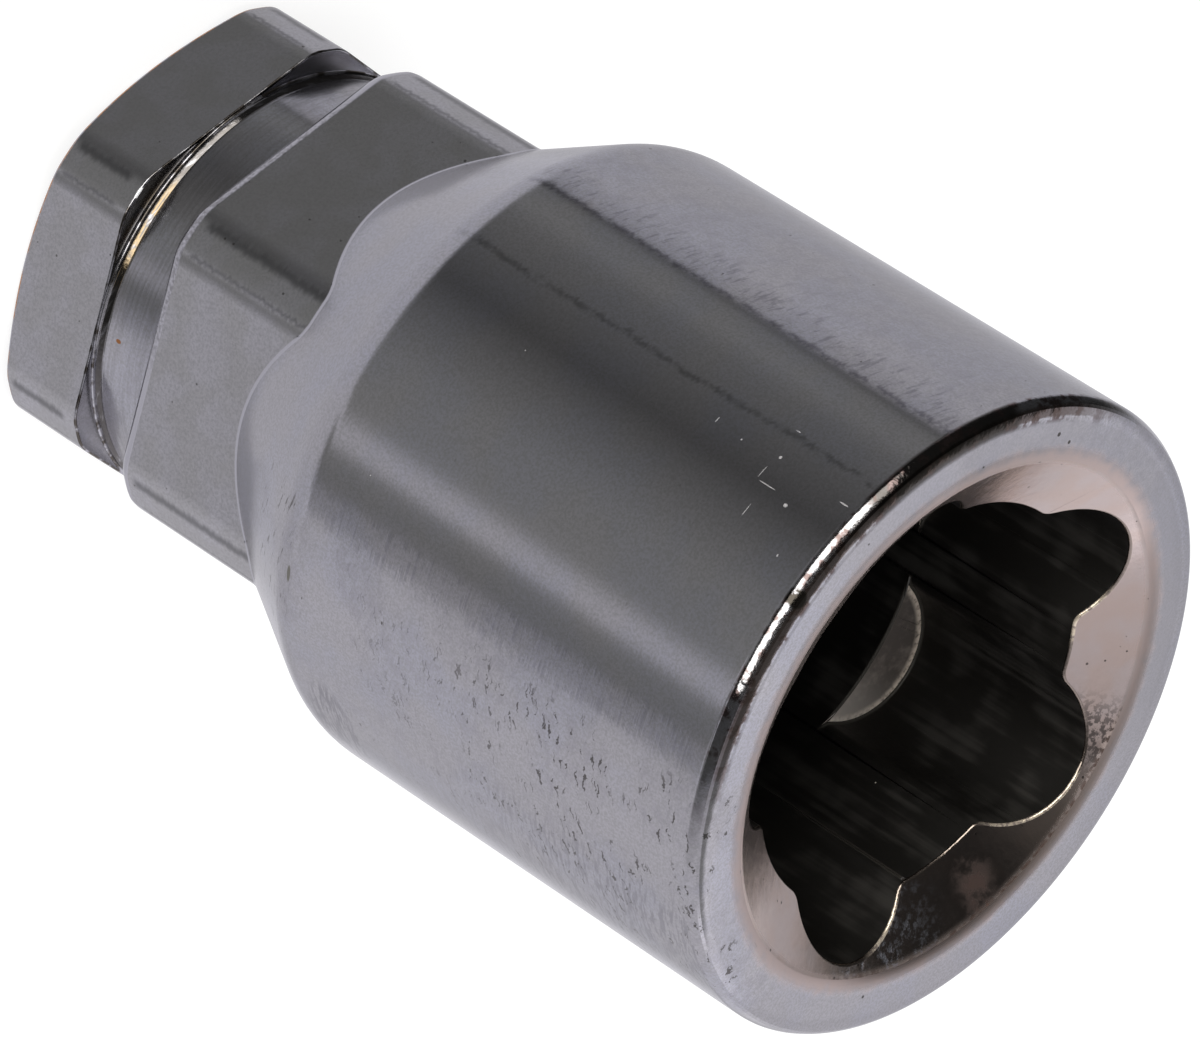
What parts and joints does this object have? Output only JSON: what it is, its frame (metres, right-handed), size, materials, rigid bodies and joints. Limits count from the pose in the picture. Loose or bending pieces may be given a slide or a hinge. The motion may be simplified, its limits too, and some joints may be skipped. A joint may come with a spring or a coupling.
{
  "type": "locking wheel nut key",
  "caption": "Plated steel key for locking wheel nuts: a round barrel with a lobed, dished socket at one end and a stepped double hexagon for a wheel wrench at the other.",
  "frame": {"origin": "centre of the end hexagon's flat end face, on the key's axis", "axes": "+Z along the key's axis towards the socket's mouth, +X square to one pair of the hexagons' flats"},
  "size_m": [0.0273, 0.0272, 0.0428],
  "materials": {
    "plated_steel": "bright nickel and chrome plate with fine turning marks, dull dark steel inside the socket"
  },
  "bodies": {
    "root": {"key": "plated_steel"}
  },
  "joints": []
}
